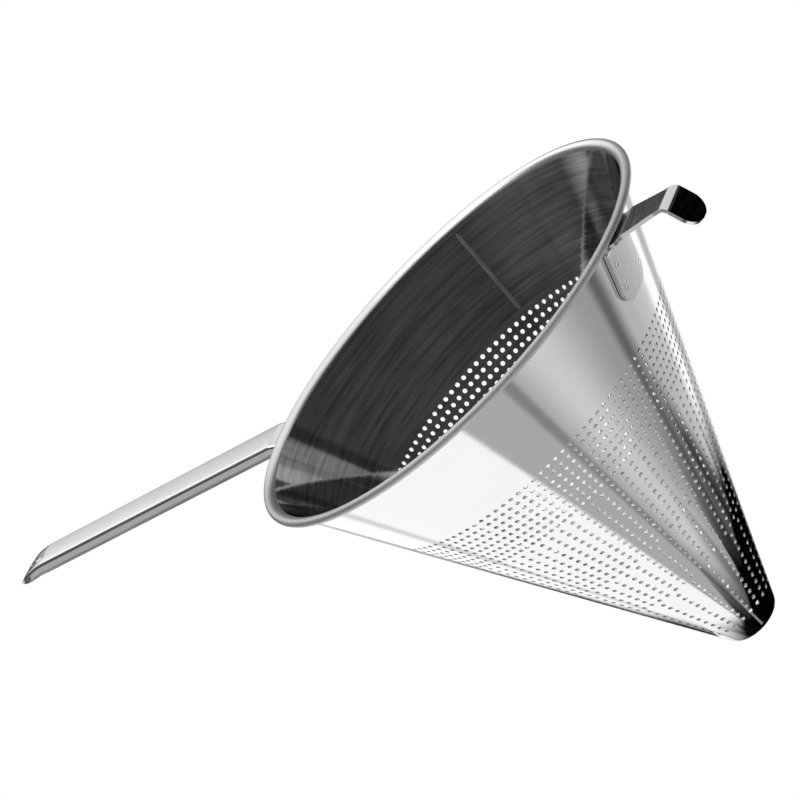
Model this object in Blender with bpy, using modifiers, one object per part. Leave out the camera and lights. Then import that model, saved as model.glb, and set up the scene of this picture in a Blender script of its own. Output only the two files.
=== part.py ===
"""Conical strainer of stainless steel: perforated cone, rolled rim, long handle and pot hook."""

import math

import bmesh
import bpy
from mathutils import Matrix, Vector

# Frame: the flat end of the tip stands on z = 0 and the cone opens upwards.
# The handle points along -X and the hook along +X.

# Cone
RIM_DIAMETER = 0.250          # over the rolled rim
RIM_HEIGHT = 0.228            # from the tip's flat end to the middle of the rolled rim
TIP_RADIUS = 0.0139           # where the cone's outer line would meet z = 0
TIP_FILLET = 0.009            # rounding between the cone and its flat end
SHEET = 0.0008                # thickness of the cone's sheet
AROUND = 60                   # facets round the cone
FILLET_STEPS = 3

# Rolled rim with its wire
WIRE_DIAMETER = 0.0020
WIRE_CLEARANCE = 0.0003
ROLL_STEP = math.radians(46)
RIM_SETBACK = 0.0028          # from the wall's outer line to the roll's middle, square to the wall
EASE_TURN = math.radians(60)  # of the wider bend between the wall and the roll
EASE_STEPS = 2
EDGE_OPEN = math.radians(65)  # left open between the rolled edge and the wall
WIRE_SIDES = 8

# Perforation: rows of square-set holes, fewer round a row in each band nearer the tip
HOLE_WIDTH = 0.0036
HOLE_CUTTER_DEPTH = 0.0064
ROW_PITCH = 0.012             # between rows, along the wall
FIELD_TOP = 0.0600            # from the rim's plane down the wall to the first row
BANDS = ((3, 60), (5, 30), (3, 20), (4, 12))   # rows, holes in each row

# Hook
SEAT_GAP = 0.0003             # between a welded tab and the wall, and under the rolled rim
HOOK_SHEET = 0.0020
HOOK_TAB_WIDTH = 0.0280
HOOK_TAB_LENGTH = 0.0378      # down the wall from the rim's plane
HOOK_TAB_CORNER = 0.0100
HOOK_NECK_WIDTH = 0.0226      # where the strip has risen beside the rim
HOOK_WAIST_WIDTH = 0.0160     # where it begins to bend down
HOOK_WIDTH = 0.0194           # of the lip
HOOK_LOW_RUN = 0.0005         # level stretch past the rolled rim's outside
HOOK_SWAN = 0.0080            # radius of the two bends that lift the strip beside the rim
HOOK_STEP = 0.0011            # how far those bends lift it
HOOK_STEP_RUN = 0.0050
HOOK_REACH = 0.0348           # from the rolled rim's outside to the corner over the lip
HOOK_LIP = 0.0196             # from that corner to the lip's end
HOOK_LIP_TILT = math.radians(20.5)
HOOK_ROOT_BEND = 0.0060
HOOK_LIP_BEND = 0.0055
HOOK_CORNER = 0.0090          # rounded corners of the lip

# Handle
HANDLE_SHEET = 0.0015
HANDLE_TAB_WIDTH = 0.0330
HANDLE_TAB_LENGTH = 0.0360
HANDLE_TAB_CORNER = 0.0095
HANDLE_LENGTH = 0.2240        # from the rolled rim's outside to the end
HANDLE_RISE = math.radians(3.25)
HANDLE_ROOT_WIDTH = 0.0200
HANDLE_END_WIDTH = 0.0184
HANDLE_DEPTH = 0.0064         # over the turned-down sides
HANDLE_FOLD = 0.0020          # outer radius between the top and the sides
HANDLE_ROOT_BEND = 0.0055
HANDLE_LOW_RUN = 0.0015       # level stretch past the rolled rim's outside
HANDLE_SWAN = 0.0100          # radius of the two bends that lift the handle beside the rim
HANDLE_STEP = 0.0026          # how far those bends lift it
HANDLE_STEP_RUN = 0.0085
HANDLE_FLARE = 0.0080         # over which the flat root becomes a channel
HANDLE_NOSE = 0.0270          # length of the drooping end
HANDLE_NOSE_DROOP = math.radians(25)
NOSE_BEND_RATIO = 0.95        # of the largest radius that fits between grip and nose
NOSE_FLATTENING = 0.0140      # the last stretch, over which the sides turn out flat
NOSE_SIDES_RATIO = 0.4        # how much of the sides' depth is left at the nose's end
NOSE_CORNER = 0.0078          # rounded corners of the nose's end
SLOT_LENGTH = 0.0160          # hanging hole
SLOT_WIDTH = 0.0080
SLOT_FROM_END = 0.0170        # the hanging hole's middle, from the handle's end
SLOT_CUTTER_DEPTH = 0.1

# How finely the bent sheets are drawn
HOOK_COLUMNS = 6
TOP_COLUMNS = 2
FOLD_COLUMNS = 3
SLOT_SIDES = 20
ROUND_END_SECTIONS = 5
CORNER_SECTIONS = 3
FLARE_SECTIONS = 4
GRIP_SECTIONS = 4
NOSE_SECTIONS = 3
BEND_STEP = math.radians(13)
SHARP_EDGE = math.radians(35)
STRAIGHT_FOLD = 0.01          # a fold of less than this, in radians, is drawn straight
NEAREST_STATIONS = 0.0004
BLUNT_END = 0.0003            # a rounded end stops this short, so that it keeps an edge

# What follows from those sizes
ROLL_INSIDE = WIRE_DIAMETER / 2 + WIRE_CLEARANCE
ROLL_OUTSIDE = ROLL_INSIDE + SHEET
ROLL_RADIUS = RIM_DIAMETER / 2 - ROLL_OUTSIDE
EASE_RADIUS = (RIM_SETBACK - ROLL_INSIDE * math.cos(EASE_TURN)) / (1 - math.cos(EASE_TURN))


def half_angle():
    """Half of the cone's opening angle: its outer line passes the roll's middle by the setback."""
    angle = math.atan((ROLL_RADIUS - TIP_RADIUS) / RIM_HEIGHT)
    for _ in range(40):
        radius_at_rim = ROLL_RADIUS - RIM_SETBACK / math.cos(angle)
        angle = math.atan((radius_at_rim - TIP_RADIUS) / RIM_HEIGHT)
    return angle


ANGLE = half_angle()
ALONG_WALL = Vector((math.sin(ANGLE), math.cos(ANGLE)))     # (outwards, up)
OFF_WALL = Vector((math.cos(ANGLE), -math.sin(ANGLE)))


def wall_point(height):
    """Point of the cone's outer line at a height, as (radius, height)."""
    return Vector((TIP_RADIUS + height * math.tan(ANGLE), height))


def arc(centre, radius, start, end, steps):
    """Points on an arc, both ends included, as (x, y) pairs."""
    points = []
    for i in range(steps + 1):
        a = start + (end - start) * i / steps
        points.append(centre + radius * Vector((math.cos(a), math.sin(a))))
    return points


def bent_line(corners, radii):
    """A line through corners, each inner corner rounded by its radius."""
    points = [corners[0]]
    for before, corner, after, radius in zip(corners, corners[1:], corners[2:], radii):
        come = (corner - before).normalized()
        go = (after - corner).normalized()
        turn = math.atan2(come.x * go.y - come.y * go.x, come.dot(go))
        side = math.copysign(1.0, turn)
        tangent = radius * math.tan(abs(turn) / 2)
        first = corner - come * tangent
        centre = first + side * radius * Vector((-come.y, come.x))
        start = math.atan2(first.y - centre.y, first.x - centre.x)
        steps = max(2, math.ceil(abs(turn) / BEND_STEP))
        points += arc(centre, radius, start, start + turn, steps)
    points.append(corners[-1])
    return points


def line_length(points):
    return sum((b - a).length for a, b in zip(points, points[1:]))


def stations(points, extra):
    """Each point of a line, and extra ones, as (length from its start, point, heading)."""
    result = []
    run = 0.0
    todo = sorted(extra)
    headings = [(b - a).normalized() for a, b in zip(points, points[1:])]
    for i, (a, b) in enumerate(zip(points, points[1:])):
        length = (b - a).length
        heading = (headings[max(i - 1, 0)] + headings[i]).normalized()
        result.append((run, a, heading))
        for s in [e for e in todo if run + NEAREST_STATIONS < e < run + length - NEAREST_STATIONS]:
            if s - result[-1][0] > NEAREST_STATIONS:
                result.append((s, a + headings[i] * (s - run), headings[i]))
        run += length
    result.append((run, points[-1], headings[-1]))
    return result


def ramp(value, start, end):
    """0 before start, 1 after end, and straight between."""
    return min(1.0, max(0.0, (value - start) / (end - start)))


def smooth(share):
    return share * share * (3.0 - 2.0 * share)


def clear_scene():
    for obj in list(bpy.data.objects):
        bpy.data.objects.remove(obj, do_unlink=True)
    for collection in list(bpy.data.collections):
        bpy.data.collections.remove(collection)


def make_collection(name):
    collection = bpy.data.collections.new(name)
    bpy.context.scene.collection.children.link(collection)
    return collection


def steel(name, grey, roughness):
    material = bpy.data.materials.new(name)
    material.use_nodes = True
    shader = material.node_tree.nodes["Principled BSDF"]
    shader.inputs["Base Color"].default_value = (grey, grey, grey, 1.0)
    shader.inputs["Metallic"].default_value = 1.0
    shader.inputs["Roughness"].default_value = roughness
    return material


def new_object(name, mesh, collection, material=None):
    obj = bpy.data.objects.new(name, mesh)
    collection.objects.link(obj)
    if material:
        mesh.materials.append(material)
    return obj


def make_cutter(name, bm, cutters):
    """A cutter from a bmesh: drawn as wire, never rendered."""
    mesh = bpy.data.meshes.new(name)
    bm.to_mesh(mesh)
    bm.free()
    obj = new_object(name, mesh, cutters)
    obj.hide_render = True
    obj.display_type = "WIRE"
    return obj


def cut(obj, cutter):
    boolean = obj.modifiers.new("Cut " + cutter.name, "BOOLEAN")
    boolean.operation = "DIFFERENCE"
    boolean.solver = "EXACT"
    boolean.object = cutter


def turned(name, profile, collection, material, closed=False):
    """A turned piece from a profile of (radius, height) points, with its first point on top."""
    mesh = bpy.data.meshes.new(name)
    edges = [(i, i + 1) for i in range(len(profile) - 1)]
    if closed:
        edges.append((len(profile) - 1, 0))
    mesh.from_pydata([(p.x, 0.0, p.y) for p in profile], edges, [])
    obj = new_object(name, mesh, collection, material)
    screw = obj.modifiers.new("Turn", "SCREW")
    screw.axis = "Z"
    screw.angle = math.tau
    screw.steps = AROUND
    screw.render_steps = AROUND
    screw.use_merge_vertices = True
    screw.merge_threshold = 0.00002
    screw.use_smooth_shade = True
    return obj


def cone_profile():
    """Outer line of the sheet, from the rolled edge over the wire and down the wall to the tip."""
    roll_centre = Vector((ROLL_RADIUS, RIM_HEIGHT))
    against_wall = math.pi - ANGLE
    edge = against_wall - math.tau + EDGE_OPEN
    ease = against_wall - EASE_TURN
    ease_centre = roll_centre - (EASE_RADIUS - ROLL_INSIDE) * Vector((math.cos(ease), math.sin(ease)))
    steps = round((ease - edge) / ROLL_STEP)
    points = arc(roll_centre, ROLL_INSIDE, edge, ease, steps)[:-1]
    points += arc(ease_centre, EASE_RADIUS, ease, against_wall, EASE_STEPS)

    flat_to_wall = math.pi / 2 + ANGLE
    tangent = TIP_FILLET * math.tan((math.pi - flat_to_wall) / 2)
    flat_radius = TIP_RADIUS - tangent
    fillet_centre = Vector((flat_radius, TIP_FILLET))
    points += arc(fillet_centre, TIP_FILLET, -ANGLE, -math.pi / 2, FILLET_STEPS)
    points.append(Vector((0.0, 0.0)))
    return points


def hole_cutters():
    """One square prism for each hole, square to the wall, all in one bmesh."""
    bm = bmesh.new()
    tilt = Matrix.Rotation(math.pi / 2 + ANGLE, 4, "Y")
    square = Matrix.Rotation(math.pi / 4, 4, "Z")
    half_facet = 0.5 / AROUND
    run = FIELD_TOP
    for rows, count in BANDS:
        for _ in range(rows):
            place = wall_point(RIM_HEIGHT) - ALONG_WALL * run
            move = Matrix.Translation((place.x, 0.0, place.y))
            for i in range(count):
                turn = Matrix.Rotation(math.tau * (i / count + half_facet), 4, "Z")
                bmesh.ops.create_cone(
                    bm,
                    cap_ends=True,
                    segments=4,
                    radius1=HOLE_WIDTH / math.sqrt(2),
                    radius2=HOLE_WIDTH / math.sqrt(2),
                    depth=HOLE_CUTTER_DEPTH,
                    matrix=turn @ move @ tilt @ square,
                )
            run += ROW_PITCH
    return bm


def make_cone(parts, cutters):
    obj = turned("cone", cone_profile(), parts, steel("cone_steel", 0.62, 0.22))
    shell = obj.modifiers.new("Sheet", "SOLIDIFY")
    shell.thickness = SHEET
    shell.offset = -1.0
    shell.use_even_offset = True
    cut(obj, make_cutter("hole_cutters", hole_cutters(), cutters))
    return obj


def make_rim_wire(parts):
    centre = Vector((ROLL_RADIUS, RIM_HEIGHT))
    ring = arc(centre, WIRE_DIAMETER / 2, math.pi / 2, math.pi / 2 - math.tau, WIRE_SIDES)
    return turned("rim_wire", ring[:-1], parts, steel("wire_steel", 0.5, 0.35), closed=True)


def seat_line():
    """Where a welded tab's inner face lies on the wall, as its point at the rim's plane."""
    return wall_point(RIM_HEIGHT) + OFF_WALL * SEAT_GAP


def under_rim():
    """Height of the upper face of what passes under the rolled rim."""
    return RIM_HEIGHT - ROLL_OUTSIDE - SEAT_GAP


def root_corner():
    """Where a tab's inner face meets the level under the rolled rim."""
    seat = seat_line()
    return seat + ALONG_WALL * (under_rim() - seat.y) / ALONG_WALL.y


def wrapped(point, across, share):
    """Point of a strip at a distance across it, bent round the cone by a share from 0 to 1."""
    drop = point.x - math.sqrt(point.x ** 2 - across ** 2)
    return Vector((point.x - drop * share, across, point.y))


def round_end(distance, radius):
    """How much narrower a half width is at a distance from an end rounded by a radius."""
    away = radius - min(radius, max(distance, BLUNT_END))
    return radius - math.sqrt(radius ** 2 - away ** 2)


def lofted(name, sections, thickness, collection, material):
    """A bent sheet through sections with equal numbers of points, thickened away from its face."""
    bm = bmesh.new()
    rows = [[bm.verts.new(p) for p in section] for section in sections]
    for a, b in zip(rows, rows[1:]):
        for i in range(len(a) - 1):
            bm.faces.new((a[i], b[i], b[i + 1], a[i + 1]))
    mesh = bpy.data.meshes.new(name)
    bm.to_mesh(mesh)
    bm.free()
    mesh.shade_smooth()
    mesh.set_sharp_from_angle(angle=SHARP_EDGE)
    obj = new_object(name, mesh, collection, material)
    shell = obj.modifiers.new("Sheet", "SOLIDIFY")
    shell.thickness = thickness
    shell.offset = -1.0
    shell.use_even_offset = True
    return obj


def end_stations(radius, count):
    """Distances from an end, rounded by a radius, at which it needs sections."""
    return [radius * (1 - math.cos(math.pi / 2 * i / count)) for i in range(1, count + 1)]


def between(start, end, count):
    """Stations that divide a stretch into equal ones, both ends included."""
    return [start + (end - start) * i / count for i in range(count + 1)]


def make_hook(parts):
    root = root_corner()
    tab_end = seat_line() - ALONG_WALL * HOOK_TAB_LENGTH
    low = Vector((RIM_DIAMETER / 2 + HOOK_LOW_RUN, under_rim()))
    high = low + Vector((HOOK_STEP_RUN, HOOK_STEP))
    over_lip = Vector((RIM_DIAMETER / 2 + HOOK_REACH, high.y))
    lip_end = over_lip + HOOK_LIP * Vector((math.sin(HOOK_LIP_TILT), -math.cos(HOOK_LIP_TILT)))
    bends = [HOOK_ROOT_BEND, HOOK_SWAN, HOOK_SWAN, HOOK_LIP_BEND]
    line = bent_line([tab_end, root, low, high, over_lip, lip_end], bends)
    length = line_length(line)
    bend_reach = HOOK_LIP_BEND * math.tan((math.pi / 2 - HOOK_LIP_TILT) / 2)
    flare_start = (root - tab_end).length - HOOK_ROOT_BEND / 2
    neck = flare_start + high.x - root.x
    lip_start = length - HOOK_LIP + bend_reach
    waist = neck + over_lip.x - bend_reach - high.x
    extra = end_stations(HOOK_TAB_CORNER, CORNER_SECTIONS)
    extra += [length - d for d in end_stations(HOOK_CORNER, CORNER_SECTIONS)]
    extra += between(flare_start, neck, FLARE_SECTIONS) + [waist]
    sections = []
    for run, point, _ in stations(line, extra):
        width = HOOK_TAB_WIDTH + (HOOK_NECK_WIDTH - HOOK_TAB_WIDTH) * smooth(ramp(run, flare_start, neck))
        width += (HOOK_WAIST_WIDTH - HOOK_NECK_WIDTH) * ramp(run, neck, waist)
        width += (HOOK_WIDTH - HOOK_WAIST_WIDTH) * smooth(ramp(run, waist, lip_start))
        half = width / 2 - round_end(run, HOOK_TAB_CORNER) - round_end(length - run, HOOK_CORNER)
        share = 1.0 - ramp(run, flare_start, neck)
        across = [half * (2 * i / HOOK_COLUMNS - 1) for i in range(HOOK_COLUMNS + 1)]
        sections.append([wrapped(point, y, share) for y in across])
    return lofted("hook", sections, HOOK_SHEET, parts, steel("hook_steel", 0.5, 0.25))


def handle_line():
    """Side view of the handle's top face as (outwards, up), from its tab's end to its nose."""
    root = root_corner()
    tab_end = seat_line() - ALONG_WALL * HANDLE_TAB_LENGTH
    rim = RIM_DIAMETER / 2
    low = Vector((rim + HANDLE_LOW_RUN, under_rim()))
    high = low + Vector((HANDLE_STEP_RUN, HANDLE_STEP))
    nose_start = rim + HANDLE_LENGTH - HANDLE_NOSE / 2
    grip = nose_start - high.x
    nose = high + Vector((grip, grip * math.tan(HANDLE_RISE)))
    droop = HANDLE_NOSE / 2
    end = nose + Vector((droop, -droop * math.tan(HANDLE_NOSE_DROOP)))
    nose_turn = HANDLE_RISE + HANDLE_NOSE_DROOP
    nose_bend = NOSE_BEND_RATIO * (end - nose).length / math.tan(nose_turn / 2)
    bends = [HANDLE_ROOT_BEND, HANDLE_SWAN, HANDLE_SWAN, nose_bend]
    return bent_line([tab_end, root, low, high, nose, end], bends)


def folded(arc_length, fold, share):
    """Point at a share of a fold's arc, as (across, down) from where the fold starts."""
    if fold < STRAIGHT_FOLD:
        return arc_length * share, 0.0
    radius = arc_length / fold
    angle = fold * share
    return radius * math.sin(angle), radius * (1 - math.cos(angle))


def channel_section(point, up, rounded, fold, arc_length, side):
    """Half of a section: flat top, a fold of some angle and a side, as (across, point) pairs."""
    reach, _ = folded(arc_length, fold, 1.0)
    half = rounded - reach - side * math.cos(fold)
    points = [(half * i / TOP_COLUMNS, 0.0) for i in range(TOP_COLUMNS + 1)]
    for i in range(1, FOLD_COLUMNS + 1):
        across, down = folded(arc_length, fold, i / FOLD_COLUMNS)
        points.append((half + across, down))
    across, down = points[-1]
    points.append((across + side * math.cos(fold), down + side * math.sin(fold)))
    return [(y, point - up * d) for y, d in points]


def slot_cutter():
    """The hanging hole: a slot with round ends, straight through the nose."""
    bm = bmesh.new()
    middle = -(RIM_DIAMETER / 2 + HANDLE_LENGTH - SLOT_FROM_END)
    half_turn = Matrix.Rotation(math.pi / SLOT_SIDES, 4, "Z")
    bmesh.ops.create_cone(
        bm,
        cap_ends=True,
        segments=SLOT_SIDES,
        radius1=SLOT_WIDTH / 2,
        radius2=SLOT_WIDTH / 2,
        depth=SLOT_CUTTER_DEPTH,
        matrix=half_turn,
    )
    for vert in bm.verts:
        vert.co.x += math.copysign((SLOT_LENGTH - SLOT_WIDTH) / 2, vert.co.x)
    bmesh.ops.translate(bm, verts=bm.verts, vec=(middle, 0.0, RIM_HEIGHT))
    return bm


def make_handle(parts, cutters):
    line = handle_line()
    length = line_length(line)
    root_run = (root_corner() - line[0]).length
    flare_start = root_run + HANDLE_ROOT_BEND / 2
    flare_end = flare_start + HANDLE_FLARE
    nose_start = length - HANDLE_NOSE
    quarter = HANDLE_FOLD * math.pi / 2
    extra = end_stations(HANDLE_TAB_CORNER, CORNER_SECTIONS)
    extra += [length - d for d in end_stations(NOSE_CORNER, ROUND_END_SECTIONS)]
    extra += between(flare_start, flare_end, FLARE_SECTIONS)
    extra += between(flare_end, nose_start, GRIP_SECTIONS)
    extra += between(nose_start, nose_start + HANDLE_NOSE - NOSE_CORNER, NOSE_SECTIONS)
    sections = []
    for run, point, heading in stations(line, extra):
        up = Vector((-heading.y, heading.x))
        flare = smooth(ramp(run, flare_start, flare_end))
        nose = ramp(run, nose_start, length)
        flat = smooth(ramp(run, length - NOSE_FLATTENING, length))
        taper = ramp(run, flare_end, nose_start)
        width = HANDLE_ROOT_WIDTH + (HANDLE_END_WIDTH - HANDLE_ROOT_WIDTH) * taper
        over_all = (HANDLE_TAB_WIDTH + (width - HANDLE_TAB_WIDTH) * flare) / 2
        rounded = over_all - round_end(run, HANDLE_TAB_CORNER) - round_end(length - run, NOSE_CORNER)
        shrink = rounded / over_all
        fold = math.pi / 2 * flare * (1.0 - flat)
        arc_length = quarter * shrink
        side = (HANDLE_DEPTH - HANDLE_FOLD) * shrink * (1.0 - (1.0 - NOSE_SIDES_RATIO) * nose)
        share = 1.0 - ramp(run, root_run - HANDLE_ROOT_BEND, root_run + HANDLE_ROOT_BEND)
        outer = channel_section(point, up, rounded, fold, arc_length, side)
        outline = [(-y, p) for y, p in reversed(outer[1:])] + outer
        section = [wrapped(p, y, share) for y, p in outline]
        sections.append([Vector((-v.x, -v.y, v.z)) for v in section])
    obj = lofted("handle", sections, HANDLE_SHEET, parts, steel("handle_steel", 0.58, 0.28))
    cut(obj, make_cutter("slot_cutter", slot_cutter(), cutters))
    return obj


def main():
    clear_scene()
    parts = make_collection("conical_strainer")
    cutters = make_collection("cutters")
    make_cone(parts, cutters)
    make_rim_wire(parts)
    make_hook(parts)
    make_handle(parts, cutters)


main()
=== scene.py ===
"""Studio scene of the conical strainer: its finished pieces, light and the photograph's view."""

import math

import bmesh
import bpy
import numpy as np
from mathutils import Matrix, Vector


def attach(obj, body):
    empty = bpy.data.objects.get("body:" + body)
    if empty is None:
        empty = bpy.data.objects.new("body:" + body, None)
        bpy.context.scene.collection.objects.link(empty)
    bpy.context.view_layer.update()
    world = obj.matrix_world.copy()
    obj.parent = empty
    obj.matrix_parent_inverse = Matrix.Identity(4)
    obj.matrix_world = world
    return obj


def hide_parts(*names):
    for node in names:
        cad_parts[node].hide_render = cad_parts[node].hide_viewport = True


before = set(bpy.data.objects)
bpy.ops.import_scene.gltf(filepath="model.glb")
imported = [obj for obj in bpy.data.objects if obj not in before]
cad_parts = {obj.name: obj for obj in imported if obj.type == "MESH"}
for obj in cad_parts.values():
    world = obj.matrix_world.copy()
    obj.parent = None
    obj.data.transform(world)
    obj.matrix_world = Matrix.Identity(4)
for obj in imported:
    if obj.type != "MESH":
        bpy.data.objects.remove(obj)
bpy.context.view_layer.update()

# Sizes, in metres, in the part's own frame: the tip's flat end is z = 0, the handle points along -X

RIM_DIAMETER = 0.250
RIM_HEIGHT = 0.228
TIP_RADIUS = 0.0139
TIP_FILLET = 0.009
SHEET = 0.0008
WIRE_DIAMETER = 0.0020
WIRE_CLEARANCE = 0.0003
RIM_SETBACK = 0.0028
EASE_TURN = math.radians(60)
EDGE_OPEN = math.radians(65)

# Perforation: a row's distance from the cone's apex, rows, holes in a row, and a column's direction
HOLE_RADIUS = 0.00125
ROW_PITCH = 0.00496
FIRST_ROW = 0.2240
BANDS = (
    (8, 120, 4, -46.3),
    (11, 72, 6, -46.3),
    (7, 48, 8, -46.3),
    (10, 24, 12, -42.0),
)
CELL_STEPS = 4
JOIN = 0.0004                 # half the plain strip between two bands
SEAM_DIRECTION = math.radians(111.5)
SEAM_SLANT = math.radians(1.1)   # over its length, towards the handle at the rim
SEAM_WIDTH = 0.0034           # of the weld's smoothed line inside the plain band
SEAM_HEIGHT = 0.00010
SEAM_SINK = 0.00005           # how deep its edges lie in the sheet
SEAM_FROM = 0.2275            # from the cone's apex
SEAM_TO = 0.2812

SEAT_GAP = 0.0003
HOOK_SHEET = 0.0020
HOOK_TAB_WIDTH = 0.0280
HOOK_TAB_LENGTH = 0.0378
HOOK_TAB_CORNER = 0.0100
HOOK_NECK_WIDTH = 0.0226
HOOK_WAIST_WIDTH = 0.0160
HOOK_WIDTH = 0.0194
HOOK_LOW_RUN = 0.0005
HOOK_SWAN = 0.0080
HOOK_STEP = 0.0011
HOOK_STEP_RUN = 0.0050
HOOK_REACH = 0.0348
HOOK_LIP = 0.0196
HOOK_LIP_TILT = math.radians(20.5)
HOOK_ROOT_BEND = 0.0060
HOOK_LIP_BEND = 0.0055
HOOK_CORNER = 0.0090
HOOK_EDGE = 0.0003            # how wide the sheet's sheared edges are broken
# Spot welds on the tab: across it, and from the rim's plane down the wall
WELDS = ((-0.0090, 0.0142), (0.0106, 0.0276), (-0.0090, 0.0286))
WELD_RADIUS = 0.0009
WELD_RING = 0.0016
WELD_DEPTH = 0.00026
WELD_RIDGE = 0.00007
DIMPLE_FALL = 2.0             # how steeply a weld's dimple and the ridge round it die away
RIDGE_FALL = 6.0

HANDLE_SHEET = 0.0015
HANDLE_TAB_WIDTH = 0.0330
HANDLE_TAB_LENGTH = 0.0360
HANDLE_TAB_CORNER = 0.0095
HANDLE_LENGTH = 0.2240
HANDLE_RISE = math.radians(3.25)
HANDLE_ROOT_WIDTH = 0.0200
HANDLE_END_WIDTH = 0.0184
HANDLE_DEPTH = 0.0064
HANDLE_FOLD = 0.0020
HANDLE_CROWN = 0.00022        # how much the top's edges lie below its middle
SIDE_BULGE = 0.00020          # how far the sides' middles stand out
HANDLE_ROOT_BEND = 0.0055
HANDLE_LOW_RUN = 0.0015
HANDLE_SWAN = 0.0100
HANDLE_STEP = 0.0026
HANDLE_STEP_RUN = 0.0085
HANDLE_FLARE = 0.0080
HANDLE_NOSE = 0.0270
HANDLE_NOSE_DROOP = math.radians(25)
NOSE_BEND_RATIO = 0.95
NOSE_FLATTENING = 0.0140
NOSE_SIDES_RATIO = 0.4
NOSE_CORNER = 0.0078
SLOT_LENGTH = 0.0160
SLOT_WIDTH = 0.0080
SLOT_FROM_END = 0.0170
SLOT_CUTTER_DEPTH = 0.1
HANDLE_EDGE = 0.00025

# How finely things are drawn
ANGLE_ROUNDS = 40
WIRE_STEPS = 240
WIRE_SIDES = 24
SEAM_COLUMNS = 9
SEAM_ROWS = 40
ROLL_STEPS = 20
EASE_STEPS = 8
FILLET_STEPS = 10
BEND_STEP = math.radians(3)
STRIP_COLUMNS = 84
TOP_COLUMNS = 10
FOLD_COLUMNS = 8
SIDE_COLUMNS = 8
END_SECTIONS = 14
HOOK_TAB_SECTIONS = 96
HOOK_NECK_SECTIONS = 8
FLARE_SECTIONS = 14
GRIP_SECTIONS = 24
NOSE_SECTIONS = 12
STRAIGHT_FOLD = 0.01
NEAREST_STATIONS = 0.00015
BLUNT_END = 0.0002
NARROWEST_TOP = 0.0001
NEAR_AXIS = 1e-9
SLOT_SIDES = 48
EDGE_SEGMENTS = 2
SHARP_ANGLE = math.radians(40)

# The body's materials by slot. The first two also number its outside and its inside.
POLISHED, SPUN, CUT, ROLLED, SEAM, BEAD = range(6)

# What follows from the sizes
ROLL_INSIDE = WIRE_DIAMETER / 2 + WIRE_CLEARANCE
ROLL_OUTSIDE = ROLL_INSIDE + SHEET
ROLL_RADIUS = RIM_DIAMETER / 2 - ROLL_OUTSIDE
EASE_RADIUS = (RIM_SETBACK - ROLL_INSIDE * math.cos(EASE_TURN)) / (1 - math.cos(EASE_TURN))


def half_angle():
    angle = math.atan((ROLL_RADIUS - TIP_RADIUS) / RIM_HEIGHT)
    for _ in range(ANGLE_ROUNDS):
        radius_at_rim = ROLL_RADIUS - RIM_SETBACK / math.cos(angle)
        angle = math.atan((radius_at_rim - TIP_RADIUS) / RIM_HEIGHT)
    return angle


ANGLE = half_angle()
SIN, COS = math.sin(ANGLE), math.cos(ANGLE)
APEX = -TIP_RADIUS / math.tan(ANGLE)
ALONG_WALL = Vector((SIN, COS))
OFF_WALL = Vector((COS, -SIN))

# Mesh building with a normal for every corner


class Mesher:
    """Gathers points, and faces that carry their corners' normals and a material number."""

    def __init__(self):
        self.points = np.empty((0, 3))
        self.faces = []

    def add_points(self, points):
        """Adds an array of points, and returns their numbers in the same arrangement."""
        first = len(self.points)
        self.points = np.vstack([self.points, points.reshape(-1, 3)])
        return np.arange(first, len(self.points)).reshape(points.shape[:-1])

    def add_faces(self, corners, normals, material):
        """Adds faces, each turned so that it agrees with its corners' normals."""
        corners = corners.reshape(-1, corners.shape[-1])
        normals = normals.reshape(len(corners), -1, 3)
        p = self.points[corners]
        faced = np.cross(p[:, 2] - p[:, 0], p[:, -1] - p[:, 1])
        wrong = np.einsum("ij,ij->i", faced, normals.mean(1)) < 0
        corners[wrong] = corners[wrong][:, ::-1]
        normals[wrong] = normals[wrong][:, ::-1]
        self.faces.append((corners, normals, material))

    def mesh(self, name, materials):
        made = bpy.data.meshes.new(name)
        sizes = np.concatenate([np.full(len(c), c.shape[1]) for c, _, _ in self.faces])
        numbers = np.concatenate([np.full(len(c), m) for c, _, m in self.faces])
        loops = np.concatenate([c.ravel() for c, _, _ in self.faces])
        normals = np.concatenate([n.reshape(-1, 3) for _, n, _ in self.faces])
        made.vertices.add(len(self.points))
        made.vertices.foreach_set("co", self.points.astype(np.float32).ravel())
        made.loops.add(len(loops))
        made.loops.foreach_set("vertex_index", loops.astype(np.int32))
        made.polygons.add(len(sizes))
        made.polygons.foreach_set("loop_start", (np.cumsum(sizes) - sizes).astype(np.int32))
        made.polygons.foreach_set("material_index", numbers.astype(np.int32))
        made.update(calc_edges=True)
        made.shade_smooth()
        for material in materials:
            made.materials.append(material)
        made.normals_split_custom_set(normals.tolist())
        return made


def quads(first, second):
    """Faces between two rows of points, each a closed ring."""
    after_first, after_second = np.roll(first, -1, axis=-1), np.roll(second, -1, axis=-1)
    return np.stack([first, after_first, after_second, second], axis=-1)


def cells(grid, axis):
    """The four corners of each cell of a grid, stacked along an axis."""
    return np.stack([grid[:-1, :-1], grid[:-1, 1:], grid[1:, 1:], grid[1:, :-1]], axis=axis)


def turned(point, directions):
    """A profile's point (outwards, up) carried round the axis."""
    height = np.full(len(directions), point.y)
    return np.stack([point.x * np.cos(directions), point.x * np.sin(directions), height], axis=-1)


def wall(distance, direction, depth):
    """Points on the cone, by distance from the apex, direction round the axis and depth inwards."""
    distance, direction = np.broadcast_arrays(distance, direction)
    radius = distance * SIN - depth * COS
    height = APEX + distance * COS + depth * SIN
    return np.stack([radius * np.cos(direction), radius * np.sin(direction), height], axis=-1)


def wall_normals(points, outwards):
    """Normals of the cone at points near it."""
    radius = np.hypot(points[..., 0], points[..., 1])
    flat = points / radius[..., None] * COS
    flat[..., 2] = -SIN
    return flat * outwards


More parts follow.
